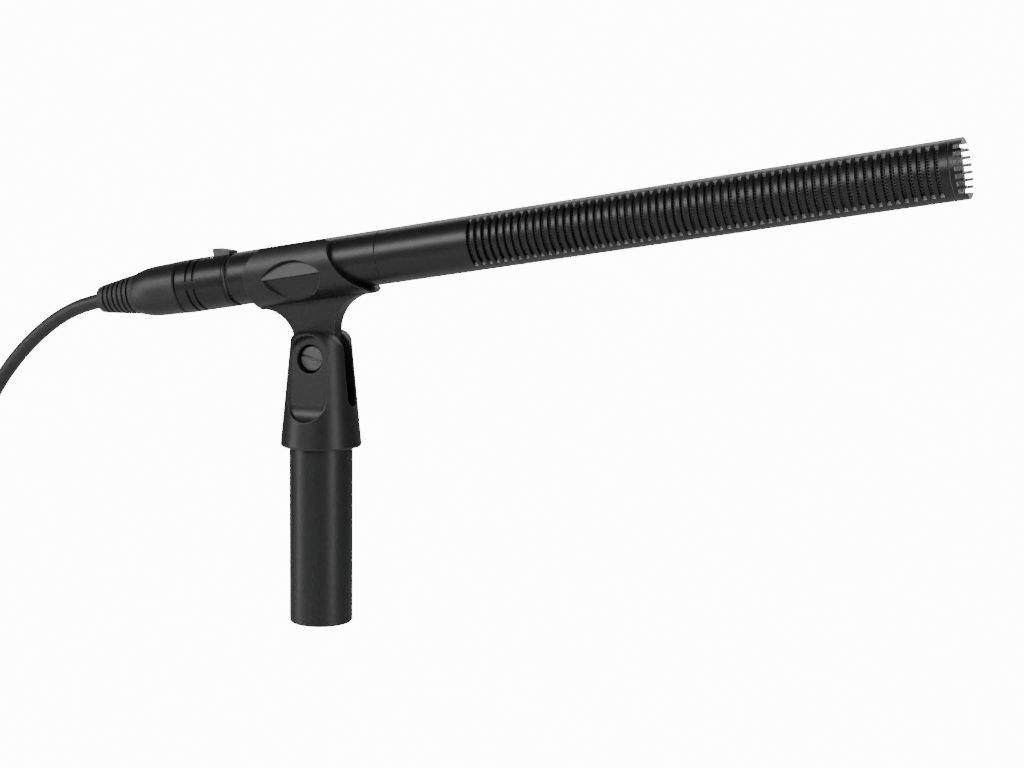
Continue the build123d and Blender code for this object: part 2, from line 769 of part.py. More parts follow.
with BuildPart() as clip_fork:
    with BuildSketch(front_face):
        fork_profile = Polygon(
            (0, 0), (fork_radius, 0), (fork_top_radius, fork_height), (0, fork_height), align=None
        )
        fillet(fork_profile.vertices().group_by(Axis.Y)[-1].sort_by(Axis.X)[-1], ear_shoulder)
    revolve(axis=stand_axis)
    with BuildSketch(front_face) as front_view:
        Polygon(
            (-fork_radius - 0.1, -0.1),
            (fork_radius + 0.1, -0.1),
            (fork_top_radius + 0.1, fork_height),
            (-fork_top_radius - 0.1, fork_height),
            align=None,
        )
        fillet(front_view.vertices().group_by(Axis.Y)[-1], ear_rounding)
    extrude(amount=fork_radius + 1, both=True, mode=Mode.INTERSECT)
    chamfer(clip_fork.edges().group_by(Axis.Z)[0], 0.5)
    # the gap that takes the clip's blade
    with BuildSketch(Plane(origin=(0, 0, fork_bottom), x_dir=(0, 1, 0), z_dir=(1, 0, 0))):
        with Locations((0, fork_gap_bottom + fork_gap / 2)):
            Circle(fork_gap / 2)
        with Locations((0, (fork_gap_bottom + fork_gap / 2 + fork_height + 1) / 2)):
            Rectangle(fork_gap, fork_height + 1 - fork_gap_bottom - fork_gap / 2)
    extrude(amount=fork_radius + 1, both=True, mode=Mode.SUBTRACT)
    # a round-ended pocket in each ear
    add(pockets.part, mode=Mode.SUBTRACT)
    with BuildSketch(front_face):
        with Locations((0, pivot_height)):
            Circle(screw_diameter / 2 + 0.15)
    extrude(amount=fork_radius, both=True, mode=Mode.SUBTRACT)
    with BuildSketch(front_face.offset(head_seat)):
        with Locations((0, pivot_height)):
            Circle(screw_head_diameter / 2 + head_clearance)
    extrude(amount=fork_radius, mode=Mode.SUBTRACT)
    with BuildSketch(front_face.offset(-nut_seat)):
        with Locations((0, pivot_height)):
            RegularPolygon(nut_across / 2 + 0.1, 6, major_radius=False)
    extrude(amount=-fork_radius, mode=Mode.SUBTRACT)
    # the seat of the brass thread insert
    with BuildSketch(Plane.XY.offset(fork_bottom)):
        Circle(insert_radius + fit)
    extrude(amount=insert_depth, mode=Mode.SUBTRACT)
save(clip_fork.part, "clip_fork")

with BuildPart() as thread_insert:
    with BuildSketch(Plane.XY.offset(fork_bottom + 0.1)):
        Circle(insert_radius)
        Circle(thread_radius + fit, mode=Mode.SUBTRACT)
    extrude(amount=insert_depth - 0.2)
    chamfer(thread_insert.faces().sort_by(Axis.Z)[0].edges(), 0.4)
save(thread_insert.part, "thread_insert")

nut_face = nut_seat + nut_thickness + 0.05
with BuildPart() as pivot_screw:
    with BuildSketch(front_face.offset(head_seat + washer_height)):
        with Locations((0, pivot_height)):
            Circle(screw_head_diameter / 2)
    extrude(amount=screw_head_height)
    chamfer(pivot_screw.faces().sort_by(Axis.Y)[0].edges(), 0.5)
    with BuildSketch(front_face.offset(head_seat + washer_height)):
        with Locations((0, pivot_height)):
            Circle(screw_diameter / 2)
    extrude(amount=-(head_seat + washer_height + nut_face + 0.5))
    with BuildSketch(front_face.offset(head_seat + washer_height + screw_head_height)):
        with Locations((0, pivot_height)):
            Rectangle(screw_head_diameter + 1, 1.2, rotation=-16)
    extrude(amount=-1.1, mode=Mode.SUBTRACT)
save(pivot_screw.part, "pivot_screw")

with BuildPart() as screw_washer:
    with BuildSketch(front_face.offset(head_seat + 0.02)):
        with Locations((0, pivot_height)):
            Circle(screw_head_diameter / 2 - 0.2)
            Circle(screw_diameter / 2 + fit, mode=Mode.SUBTRACT)
    extrude(amount=washer_height - 0.04)
save(screw_washer.part, "screw_washer")

with BuildPart() as pivot_nut:
    with BuildSketch(front_face.offset(-nut_seat - 0.05)):
        with Locations((0, pivot_height)):
            RegularPolygon(nut_across / 2, 6, major_radius=False)
            Circle(screw_diameter / 2 + fit, mode=Mode.SUBTRACT)
    extrude(amount=-nut_thickness)
save(pivot_nut.part, "pivot_nut")

# thin nylon washers between the blade and the two ears
washer_thickness = (fork_gap - blade_thickness) / 2 - 0.06
with BuildPart() as friction_washers:
    for gap_side in (1, -1):
        with BuildSketch(front_face.offset(gap_side * (fork_gap / 2 - 0.03))):
            with Locations((0, pivot_height)):
                Circle(blade_half_width - 1.5)
                Circle(screw_diameter / 2 + 0.15, mode=Mode.SUBTRACT)
        extrude(amount=-gap_side * washer_thickness)
save(friction_washers.part, "friction_washers")

# ---------------------------------------------------------------- stand
tube_radius = tube_diameter / 2
with BuildPart() as stand_tube:
    with BuildSketch(Plane.XY):
        Circle(tube_radius)
        Circle(tube_bore, mode=Mode.SUBTRACT)
    extrude(amount=tube_length - 0.15)
    chamfer(stand_tube.edges().group_by(Axis.Z)[0].sort_by(SortBy.RADIUS)[-1], 0.4)
save(stand_tube.part, "stand_tube")

with BuildPart() as tube_stud:
    with BuildSketch(Plane.XY.offset(tube_length - 0.15 - plug_depth)):
        Circle(tube_bore - fit)
    extrude(amount=plug_depth)
    with BuildSketch(Plane.XY.offset(tube_length - 0.15)):
        Circle(thread_radius)
    extrude(amount=stud_length)
    chamfer(tube_stud.edges().group_by(Axis.Z)[-1], 0.8)
save(tube_stud.part, "tube_stud")

with BuildPart() as tube_socket:
    with BuildSketch(Plane.XY):
        Circle(tube_bore - fit)
        Circle(thread_radius, mode=Mode.SUBTRACT)
    extrude(amount=socket_insert_length)
save(tube_socket.part, "tube_socket")

# ---------------------------------------------------------------- cable
# centre line of the hanging stretch, in the XZ plane, from inside the boot down to the coil
route = (
    (-84.1, 113.04),
    (-97.6, 110.79),
    (-113.5, 104.0),
    (-131.0, 90.0),
    (-146.5, 70.5),
    (-155.5, 45.0),
    (-158.6, 16.0),
    (-158.9, -14.0),
)
hang_x = route[-1][0]
coil_centre = (hang_x - coil_radii[1], -coil_drop)
route_points = [Vector(x, 0, z) for x, z in route]
runs = [end - start for start, end in zip(route_points, route_points[1:])]
bend_radii = []
for before, after in zip(runs, runs[1:]):
    turn = before.get_angle(after)
    from_turn = 0.45 * min(before.length, after.length) / math.tan(math.radians(turn / 2))
    bend_radii.append(from_turn)

coil_plane = Plane(origin=(coil_centre[0], 0, coil_centre[1]), x_dir=(1, 0, 0), z_dir=(0, -1, 0))
with BuildPart() as cable_coil:
    with BuildSketch(Plane(origin=coil_plane.origin, x_dir=(1, 0, 0), z_dir=(0, 0, 1))) as coil_section:
        with Locations(((coil_radii[0] + coil_radii[1]) / 2, 0)):
            Rectangle(coil_radii[1] - coil_radii[0] + cable_diameter + 0.8, 2 * coil_half_width)
        fillet(coil_section.vertices(), cable_radius + 1)
    revolve(axis=Axis(coil_plane.origin, (0, 1, 0)))
save(cable_coil.part, "cable_coil")

with BuildPart() as cable_tube:
    with BuildLine() as cable_path:
        FilletPolyline(*route_points, radius=bend_radii)
    with BuildSketch(Plane(origin=route_points[0], z_dir=runs[0])):
        Circle(cable_radius)
    sweep()
    add(cable_coil.part, mode=Mode.SUBTRACT)
save(cable_tube.part, "cable_tube")

tail_length = 19.0
tail_y = -coil_half_width + cable_radius + 0.4
tail_top = coil_centre[1] - 8.0
line_plug_top = tail_top - tail_length
with BuildPart() as cable_tail:
    with BuildSketch(Plane.XY.offset(tail_top)):
        with Locations((hang_x, tail_y)):
            Circle(cable_radius)
    extrude(amount=-(tail_length + 4.0))
    add(cable_coil.part, mode=Mode.SUBTRACT)
save(cable_tail.part, "cable_tail")

# hook and loop tie round the coil, where the cable comes down to it
tie_angle = 64.0
coil_mean = (coil_radii[0] + coil_radii[1]) / 2
tie_width = 12.0
outwards = Vector(math.cos(math.radians(tie_angle)), 0, math.sin(math.radians(tie_angle)))
tie_origin = coil_plane.origin + outwards * coil_mean
with BuildPart() as cable_tie:
    with BuildSketch(Plane(origin=tie_origin, x_dir=outwards, z_dir=outwards.cross(towards))) as tie_section:
        half_radial = (coil_radii[1] - coil_radii[0]) / 2 + cable_radius + 0.4
        Rectangle(2 * half_radial + 3.4, 2 * coil_half_width + 3.0)
        fillet(tie_section.vertices(), 5.0)
    extrude(amount=tie_width / 2, both=True)
    add(cable_coil.part, mode=Mode.SUBTRACT)
save(cable_tie.part, "cable_tie")

# ---------------------------------------------------------------- plug on the far end of the cable
line_axis_plane = Plane(origin=(hang_x, tail_y, line_plug_top), x_dir=(0, 0, -1), z_dir=(0, -1, 0))
line_axis = Axis((hang_x, tail_y, line_plug_top), (0, 0, -1))
line_radius = line_plug_diameter / 2
line_boot_length = 16.0
line_collar_length = 17.0
line_shell_length = 38.0
line_shell_start = line_boot_length + line_collar_length
line_end = line_shell_start + line_shell_length
line_bore = rear_bore_radius


def line_ring(start, end, inner, outer):
    return outline([(start, inner), (end, inner), (end, outer), (start, outer)], line_axis_plane)


with BuildPart() as line_boot:
    revolve(
        outline(
            [
                (0, cable_radius + fit),
                (line_boot_length, cable_radius + fit),
                (line_boot_length, boot_front_radius - 0.2),
                (1.5, boot_rear_radius),
                (0, boot_rear_radius - 0.9),
            ],
            line_axis_plane,
        ),
        axis=line_axis,
    )
    for rib in range(boot_rib_count):
        centre = 2.6 + rib * boot_rib_pitch
        radius = boot_rear_radius + (boot_front_radius - boot_rear_radius) * centre / line_boot_length
        revolve(
            line_ring(centre - boot_groove / 2, centre + boot_groove / 2, radius - 0.9, radius + 1),
            axis=line_axis,
            mode=Mode.SUBTRACT,
        )
save(line_boot.part, "line_boot")

with BuildPart() as line_collar:
    revolve(
        outline(
            [
                (line_boot_length + 0.02, 5.6),
                (line_shell_start - 0.4, 5.6),
                (line_shell_start - 0.4, line_radius - 0.5),
                (line_shell_start - 1.0, line_radius),
                (line_boot_length + 7.0, line_radius - 0.4),
                (line_boot_length + 2.5, line_radius - 1.0),
                (line_boot_length + 0.02, boot_front_radius),
            ],
            line_axis_plane,
        ),
        axis=line_axis,
    )
save(line_collar.part, "line_collar")

with BuildPart() as line_shell:
    shell_outline = tube_outline(line_shell_start, line_end, line_bore, line_radius, 0.4, line_axis_plane)
    revolve(shell_outline, axis=line_axis)
    groove_outline = line_ring(line_end - 19.0, line_end - 18.0, line_radius - 0.4, line_radius + 1)
    revolve(groove_outline, axis=line_axis, mode=Mode.SUBTRACT)
save(line_shell.part, "line_shell")

line_insert_front = line_end - socket_depth
with BuildPart() as line_insert:
    revolve(
        line_ring(line_insert_front - insert_thickness, line_insert_front, 0, line_bore - fit), axis=line_axis
    )
    with BuildSketch(Plane(origin=line_axis_plane.origin, x_dir=(0, 1, 0), z_dir=(0, 0, -1))):
        with Locations(*pin_places):
            Circle(pin_radius + 0.02)
    extrude(amount=line_end, mode=Mode.SUBTRACT)
save(line_insert.part, "line_insert")

with BuildPart() as line_pins:
    pin_tip = Vector(hang_x, tail_y, line_plug_top - line_insert_front - pin_length)
    with BuildSketch(Plane(origin=pin_tip, x_dir=(0, 1, 0), z_dir=(0, 0, -1))):
        with Locations(*pin_places):
            Circle(pin_radius)
    extrude(amount=-(pin_length + insert_thickness + 2.0))
    chamfer(line_pins.edges().group_by(Axis.Z)[0], 0.5)
save(line_pins.part, "line_pins")

line_chuck_rear = line_boot_length + 2.0
with BuildPart() as line_chuck:
    revolve(
        line_ring(line_chuck_rear, line_insert_front - insert_thickness - 3.0, cable_radius + fit, 5.5),
        axis=line_axis,
    )
save(line_chuck.part, "line_chuck")
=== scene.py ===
# %% [markdown]
# # Short shotgun microphone in a swivel clip
#
# The solid parts come ready made from the imported model, one object for each, in metres, with +Z up.
# This notebook gives them their finishes, and makes the pieces that are too fine or too soft for a
# solid model: the perforated sheets and their black lining of painted shade, the cable with its coil, the
# fabric tie and the thread in the stand tube's socket.
#
# The first cell loads the solid parts, and gives a way to measure the box of a part.

# %% Load the solid parts
import json
import math

import bpy
import numpy as np
from mathutils import Matrix, Vector


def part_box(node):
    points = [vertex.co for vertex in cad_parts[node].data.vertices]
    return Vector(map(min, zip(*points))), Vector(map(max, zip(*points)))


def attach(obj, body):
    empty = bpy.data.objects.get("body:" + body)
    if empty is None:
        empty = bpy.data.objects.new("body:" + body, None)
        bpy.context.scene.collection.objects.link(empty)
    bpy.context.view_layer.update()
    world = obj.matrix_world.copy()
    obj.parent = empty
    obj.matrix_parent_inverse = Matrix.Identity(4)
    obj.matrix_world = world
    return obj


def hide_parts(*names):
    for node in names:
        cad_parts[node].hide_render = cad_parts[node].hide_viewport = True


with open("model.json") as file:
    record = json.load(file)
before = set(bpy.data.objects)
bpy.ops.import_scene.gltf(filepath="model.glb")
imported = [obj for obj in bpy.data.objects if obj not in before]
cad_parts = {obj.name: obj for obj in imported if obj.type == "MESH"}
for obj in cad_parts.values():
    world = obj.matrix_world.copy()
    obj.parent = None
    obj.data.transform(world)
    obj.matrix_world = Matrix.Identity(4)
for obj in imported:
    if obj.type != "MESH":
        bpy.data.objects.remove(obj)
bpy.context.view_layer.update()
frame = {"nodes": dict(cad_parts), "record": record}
nodes = frame["nodes"]
MM = 0.001

# %% [markdown]
# ## The lines everything is built on
#
# The microphone's axis is tilted nose up in the XZ plane. `along` points to the nose, `above` is
# square to it, and `rear_rim` is the middle of its back edge. They are worked out from the packed
# joints: the slide joint runs along the axis, and the tilt joint's place is the clip's pivot.

# %% The microphone's own directions
joints = {joint["name"]: joint for joint in frame["record"]["behaviour"]["joints"]}
along = np.array(joints["microphone_slide"]["axis"], dtype=float)
along /= np.linalg.norm(along)
above = np.array((-along[2], 0.0, along[0]))
towards = np.array((0.0, -1.0, 0.0))
pivot = np.array(joints["clip_tilt"]["pos_m"], dtype=float)
axis_height = 31.6 * MM
tail_offset = 27.8 * MM
rear_rim = pivot + above * axis_height - along * tail_offset
print("rear rim at", np.round(rear_rim * 1000, 2), "mm")

# %% [markdown]
# ## The camera
#
# A long lens a little to the nose's side of square, and slightly above. A camera looks along its own
# -Z, so its matrix holds its right, up and back directions as columns.

# %% Camera
camera_data = bpy.data.cameras.new("camera")
camera_data.lens = 63.95
camera_data.sensor_width = 36.0
camera_place = Vector((0.311218, -0.562374, 0.162855))
camera = bpy.data.objects.new("camera", camera_data)
bpy.context.scene.collection.objects.link(camera)
right = Vector((0.92033257, 0.39093817, 0.01246195))
up = Vector((-0.05792218, 0.10471034, 0.99281457))
back = right.cross(up)
turn = Matrix((right, up, back)).transposed().to_4x4()
camera.matrix_world = Matrix.Translation(camera_place) @ turn
bpy.context.scene.camera = camera

# %% [markdown]
# ## Meshes from arrays
#
# Every new surface is worked out with numpy as whole arrays of points. `mesh_piece` turns an array of
# points and an array of faces into an object, `ride_on` fixes it to a moving body and gives it its
# finish, and `grid_faces` joins the points of a grid into four-sided faces.

# %% From arrays to objects
def mesh_piece(name, points, faces, smooth=True):
    """An object from an (n, 3) array of points in metres and an (m, k) array of point numbers."""
    mesh = bpy.data.meshes.new(name)
    mesh.from_pydata(points.tolist(), [], faces.tolist())
    mesh.update()
    mesh.polygons.foreach_set("use_smooth", np.full(len(mesh.polygons), smooth))
    piece = bpy.data.objects.new(name, mesh)
    bpy.context.scene.collection.objects.link(piece)
    print(name, len(points), "points,", len(faces), "faces")
    return piece


def grid_faces(rows, columns, close_rows=False, close_columns=False):
    """Faces of a grid of rows x columns points, wrapped round in either direction if asked."""
    row = np.arange(rows if close_rows else rows - 1)
    column = np.arange(columns if close_columns else columns - 1)
    r, c = np.meshgrid(row, column, indexing="ij")
    r2, c2 = (r + 1) % rows, (c + 1) % columns
    near, far = r * columns, r2 * columns
    corners = np.stack((near + c, near + c2, far + c2, far + c), axis=-1)
    return corners.reshape(-1, 4)


def ride_on(piece, body, finish):
    """Fixes a piece to a body, and gives it its finish."""
    piece.data.materials.append(finish)
    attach(piece, body)
    return piece


# %% [markdown]
# ## Shared surface effects
#
# Three effects turn up on many finishes, so each is a node group that every material fills in with
# its own numbers. **Grain** is the fine texture of a moulded, blasted or coated surface: a height for
# the bump and a tone that varies the colour. **Handling** is the faint cloudiness that fingers leave,
# which only changes the gloss. **Soft edge** compares the true face direction with one averaged over
# a fraction of a millimetre: where they differ there is an edge, which gets a painted highlight.

# %% Grain, handling and soft edge
def new_group(name, inputs, outputs):
    """An empty shader node group with the given sockets, each (name, kind, default)."""
    group = bpy.data.node_groups.new(name, "ShaderNodeTree")
    for label, kind, default in inputs:
        socket = group.interface.new_socket(label, in_out="INPUT", socket_type=kind)
        if default is not None:
            socket.default_value = default
    for label, kind in outputs:
        group.interface.new_socket(label, in_out="OUTPUT", socket_type=kind)
    return group, group.nodes.new("NodeGroupInput"), group.nodes.new("NodeGroupOutput")


def maths(group, operation, first, second):
    """A Math node; each input is a socket or a number."""
    node = group.nodes.new("ShaderNodeMath")
    node.operation = operation
    for place, value in enumerate((first, second)):
        if isinstance(value, (int, float)):
            node.inputs[place].default_value = value
        else:
            group.links.new(value, node.inputs[place])
    return node.outputs[0]


FLOAT, VECTOR = "NodeSocketFloat", "NodeSocketVector"
grain, entry, result = new_group(
    "grain", [("Vector", VECTOR, None), ("Scale", FLOAT, 900.0)], [("Height", FLOAT), ("Tone", FLOAT)]
)
pits = grain.nodes.new("ShaderNodeTexNoise")
pits.inputs["Detail"].default_value = 3.0
grain.links.new(entry.outputs["Vector"], pits.inputs["Vector"])
grain.links.new(entry.outputs["Scale"], pits.inputs["Scale"])
cells = grain.nodes.new("ShaderNodeTexVoronoi")
grain.links.new(entry.outputs["Vector"], cells.inputs["Vector"])
grain.links.new(maths(grain, "MULTIPLY", entry.outputs["Scale"], 1.4), cells.inputs["Scale"])
pit_height = maths(grain, "MULTIPLY", pits.outputs[0], 0.6)
cell_height = maths(grain, "MULTIPLY", cells.outputs["Distance"], 0.5)
grain.links.new(maths(grain, "ADD", pit_height, cell_height), result.inputs["Height"])
grain.links.new(pits.outputs[0], result.inputs["Tone"])

handling, entry, result = new_group(
    "handling",
    [
        ("Vector", VECTOR, None), ("Scale", FLOAT, 60.0),
        ("Roughness", FLOAT, 0.5), ("Spread", FLOAT, 0.1),
    ],
    [("Roughness", FLOAT)],
)
clouds = handling.nodes.new("ShaderNodeTexNoise")
clouds.inputs["Detail"].default_value = 5.0
clouds.inputs["Roughness"].default_value = 0.62
handling.links.new(entry.outputs["Vector"], clouds.inputs["Vector"])
handling.links.new(entry.outputs["Scale"], clouds.inputs["Scale"])
centred = maths(handling, "SUBTRACT", clouds.outputs[0], 0.5)
swing = maths(handling, "MULTIPLY", centred, entry.outputs["Spread"])
handling.links.new(maths(handling, "ADD", entry.outputs["Roughness"], swing), result.inputs["Roughness"])

soft_edge, entry, result = new_group(
    "soft edge", [("Radius", FLOAT, 0.0003)], [("Normal", VECTOR), ("Edge", FLOAT)]
)
rounding = soft_edge.nodes.new("ShaderNodeBevel")
rounding.samples = 4
soft_edge.links.new(entry.outputs["Radius"], rounding.inputs["Radius"])
facing = soft_edge.nodes.new("ShaderNodeNewGeometry")
agreement = soft_edge.nodes.new("ShaderNodeVectorMath")
agreement.operation = "DOT_PRODUCT"
soft_edge.links.new(rounding.outputs["Normal"], agreement.inputs[0])
soft_edge.links.new(facing.outputs["Normal"], agreement.inputs[1])
difference = maths(soft_edge, "SUBTRACT", 1.0, agreement.outputs["Value"])
soft_edge.links.new(maths(soft_edge, "MULTIPLY", difference, 4.0), result.inputs["Edge"])
soft_edge.links.new(rounding.outputs["Normal"], result.inputs["Normal"])
print("node groups:", [group.name for group in bpy.data.node_groups])


# %% [markdown]
# ## One recipe for all the finishes
#
# A finish is the grain, the handling and the soft edge around one Principled shader. The colour runs
# between a dark and a light tone with the grain, and is lightened at the edges as a painted highlight.
# Numbers that are the same all over, such as how metallic it is, are set on the shader itself.

# %% The finish recipe
def finish(
    name, colour, roughness, metallic=0.0, tone=0.15, grain_scale=900.0, grain_depth=0.00002,
    edge_radius=0.0003, edge_light=1.6, coat=0.0, sheen=0.0,
):
    """A material; the tone is the share by which the colour varies, and depths are in metres."""
    material = bpy.data.materials.new(name)
    material.use_nodes = True
    tree = material.node_tree
    shader = tree.nodes["Principled BSDF"]
    shader.inputs["Metallic"].default_value = metallic
    shader.inputs["Coat Weight"].default_value = coat
    shader.inputs["Coat Roughness"].default_value = 0.25
    shader.inputs["Sheen Weight"].default_value = sheen

    place = tree.nodes.new("ShaderNodeTexCoord")

    fine = tree.nodes.new("ShaderNodeGroup")
    fine.node_tree = grain
    fine.inputs["Scale"].default_value = grain_scale
    tree.links.new(place.outputs["Object"], fine.inputs["Vector"])

    touched = tree.nodes.new("ShaderNodeGroup")
    touched.node_tree = handling
    touched.inputs["Roughness"].default_value = roughness
    tree.links.new(place.outputs["Object"], touched.inputs["Vector"])
    tree.links.new(touched.outputs["Roughness"], shader.inputs["Roughness"])

    tones = tree.nodes.new("ShaderNodeMix")
    tones.data_type = "RGBA"
    base = np.array(colour)
    tones.inputs["A"].default_value = (*np.clip(base * (1 - tone), 0, 1), 1)
    tones.inputs["B"].default_value = (*np.clip(base * (1 + tone), 0, 1), 1)
    tree.links.new(fine.outputs["Tone"], tones.inputs["Factor"])
    shown = tones.outputs["Result"]

    bump = tree.nodes.new("ShaderNodeBump")
    bump.inputs["Distance"].default_value = grain_depth
    tree.links.new(fine.outputs["Height"], bump.inputs["Height"])
    tree.links.new(bump.outputs["Normal"], shader.inputs["Normal"])
    if edge_radius > 0:
        edge = tree.nodes.new("ShaderNodeGroup")
        edge.node_tree = soft_edge
        edge.inputs["Radius"].default_value = edge_radius
        tree.links.new(edge.outputs["Normal"], bump.inputs["Normal"])
        # Painted highlight: at the edges the colour is the base colour times edge_light.
        edge_highlight = tree.nodes.new("ShaderNodeMix")
        edge_highlight.data_type = "RGBA"
        edge_highlight.inputs["B"].default_value = (*np.clip(base * edge_light + 0.004, 0, 1), 1)
        tree.links.new(edge.outputs["Edge"], edge_highlight.inputs["Factor"])
        tree.links.new(shown, edge_highlight.inputs["A"])
        shown = edge_highlight.outputs["Result"]
    tree.links.new(shown, shader.inputs["Base Color"])
    return material


# %% [markdown]
# ## Painted highlight on the walls of the slots and kerfs
#
# The walls of the slots and of the nose's kerfs are painted grey on the black tube: a painted highlight
# for the light that these walls catch. Every wall lies inside the tube's outer surface. The
# mask therefore measures the distance from the microphone's axis: the place of a point, less its
# share along the axis, leaves the vector straight out from the axis, and its length is the distance.
# On the tube only the ends of the slots get this painted highlight, so faces turned along the axis are left
# out there.

# %% Painted highlight: grey walls where the distance from the axis is less than the tube's radius
mic_radius = 9.5 * MM
painted_highlight_mask, entry, result = new_group(
    "painted highlight mask",
    [
        ("Vector", VECTOR, None), ("Normal", VECTOR, None),
        ("Radius", FLOAT, mic_radius), ("Steepest", FLOAT, 2.0),
    ],
    [("Mask", FLOAT)],
)
from_rim = painted_highlight_mask.nodes.new("ShaderNodeVectorMath")
from_rim.operation = "SUBTRACT"
from_rim.inputs[1].default_value = tuple(rear_rim)
painted_highlight_mask.links.new(entry.outputs["Vector"], from_rim.inputs[0])
share = painted_highlight_mask.nodes.new("ShaderNodeVectorMath")
share.operation = "PROJECT"
share.inputs[1].default_value = tuple(along)
painted_highlight_mask.links.new(from_rim.outputs["Vector"], share.inputs[0])
outward = painted_highlight_mask.nodes.new("ShaderNodeVectorMath")
outward.operation = "SUBTRACT"
painted_highlight_mask.links.new(from_rim.outputs["Vector"], outward.inputs[0])
painted_highlight_mask.links.new(share.outputs["Vector"], outward.inputs[1])
distance = painted_highlight_mask.nodes.new("ShaderNodeVectorMath")
distance.operation = "LENGTH"
painted_highlight_mask.links.new(outward.outputs["Vector"], distance.inputs[0])
inside = maths(painted_highlight_mask, "LESS_THAN", distance.outputs["Value"], entry.outputs["Radius"])
turned = painted_highlight_mask.nodes.new("ShaderNodeVectorMath")
turned.operation = "DOT_PRODUCT"
turned.inputs[1].default_value = tuple(along)
painted_highlight_mask.links.new(entry.outputs["Normal"], turned.inputs[0])
along_axis = maths(painted_highlight_mask, "ABSOLUTE", turned.outputs["Value"], 0.0)
crosswise = maths(painted_highlight_mask, "LESS_THAN", along_axis, entry.outputs["Steepest"])
painted_highlight_mask.links.new(maths(painted_highlight_mask, "MULTIPLY", inside, crosswise), result.inputs["Mask"])


def paint_wall_highlight(material, colour, steepest):
    """Mixes a lighter colour, a painted highlight, into a finish where the highlight mask is 1."""
    tree = material.node_tree
    shader = tree.nodes["Principled BSDF"]
    black = shader.inputs["Base Color"].links[0].from_socket
    mask = tree.nodes.new("ShaderNodeGroup")
    mask.node_tree = painted_highlight_mask
    mask.inputs["Radius"].default_value = mic_radius - 0.15 * MM
    mask.inputs["Steepest"].default_value = steepest
    place = tree.nodes.new("ShaderNodeTexCoord")
    tree.links.new(place.outputs["Object"], mask.inputs["Vector"])
    tree.links.new(place.outputs["Normal"], mask.inputs["Normal"])
    mix = tree.nodes.new("ShaderNodeMix")
    mix.data_type = "RGBA"
    mix.inputs["B"].default_value = (*colour, 1)
    tree.links.new(mask.outputs["Mask"], mix.inputs["Factor"])
    tree.links.new(black, mix.inputs["A"])
    tree.links.new(mix.outputs["Result"], shader.inputs["Base Color"])


# %% [markdown]
# ## The finishes of this object
#
# Nearly everything is black, and only the finish tells the pieces apart: fine blasted and anodised
# aluminium on the tube, grained nylon on the clip, duller rubber on the boots and the cable, and a
# slightly glossier plating on the plug's shell. The inside has the usual gold, steel and green.

# %% Name a finish for every material slot
finishes = {
    "mic_black": finish("anodised tube", (0.007, 0.007, 0.0075), 0.36, 0.1, grain_depth=0.000006),
    # The mesh's dark grey, ten times the tube's black, is painted light for the shade inside the slots.
    "mesh_black": finish("coated mesh painted lighter", (0.07, 0.07, 0.072), 0.45, 0.3, edge_radius=0),
    "capsule_metal": finish("turned capsule", (0.62, 0.62, 0.64), 0.32, 1.0, tone=0.05),
    "capsule_gold": finish("gold plate", (0.83, 0.62, 0.28), 0.25, 1.0, tone=0.05),
    "capsule_plastic": finish("capsule insulator", (0.8, 0.76, 0.66), 0.5, tone=0.05),
    "seal_rubber": finish("seal rubber", (0.014, 0.014, 0.014), 0.75, tone=0.2),
    "board_green": finish("solder mask", (0.02, 0.16, 0.06), 0.35, tone=0.1, coat=0.3),
    "board_frame": finish("moulded insert", (0.05, 0.05, 0.052), 0.5),
    "chip_black": finish("chip plastic", (0.02, 0.02, 0.02), 0.4),
    "capacitor_case": finish("capacitor case", (0.7, 0.7, 0.72), 0.28, 1.0, tone=0.04),
    "contact_gold": finish("contact gold", (0.85, 0.64, 0.3), 0.22, 1.0, tone=0.05),
    "small_steel": finish("zinc plated steel", (0.5, 0.5, 0.5), 0.35, 1.0, tone=0.08),
    "plug_black": finish("plated casting", (0.007, 0.007, 0.0075), 0.34, 0.2, grain_depth=0.000006),
    "latch_grey": finish("blasted nickel", (0.1, 0.1, 0.103), 0.55, 0.75, grain_depth=0.00001),
    "collar_black": finish("moulded collar", (0.008, 0.008, 0.0085), 0.42, grain_depth=0.00001),
    "chuck_plastic": finish("chuck plastic", (0.06, 0.06, 0.06), 0.5),
    "boot_rubber": finish("boot rubber", (0.009, 0.009, 0.009), 0.55, sheen=0.1, grain_depth=0.00002),
    # The clip's edges get a strong painted highlight, six times its colour.
    "clip_plastic": finish("grained nylon", (0.008, 0.008, 0.0083), 0.42, edge_radius=0.0006, edge_light=6.0),
    "washer_nylon": finish("natural nylon", (0.7, 0.68, 0.62), 0.5, tone=0.05),
    "brass": finish("turned brass", (0.72, 0.5, 0.2), 0.3, 1.0, tone=0.08),
    "screw_black": finish("dark zinc", (0.13, 0.13, 0.133), 0.45, 0.85, tone=0.1, edge_radius=0.0002),
    "stand_black": finish("powder coat", (0.008, 0.008, 0.0085), 0.4, grain_scale=700, grain_depth=0.00003),
    "stand_steel": finish("bright zinc", (0.45, 0.45, 0.46), 0.3, 1.0, tone=0.06),
    "cable_black": finish("cable sheath", (0.009, 0.009, 0.0093), 0.5, sheen=0.1, edge_radius=0),
    "tie_fabric": finish(
        "hook and loop tape", (0.03, 0.03, 0.033), 0.9, tone=0.5, grain_scale=1500.0,
        grain_depth=0.0003, sheen=0.4, edge_radius=0,
    ),
}
# The light grey on the walls of the slots and kerfs is a painted highlight.
highlighted_wall_finishes = {"slotted_tube": ("slots with painted highlight", 0.7), "nose_ring": ("nose with painted highlight", 2.0)}
for node, (name, steepest) in highlighted_wall_finishes.items():
    finishes[node] = finish(name, (0.007, 0.007, 0.0075), 0.36, 0.1, grain_depth=0.000006)
    paint_wall_highlight(finishes[node], (0.42, 0.42, 0.425), steepest)
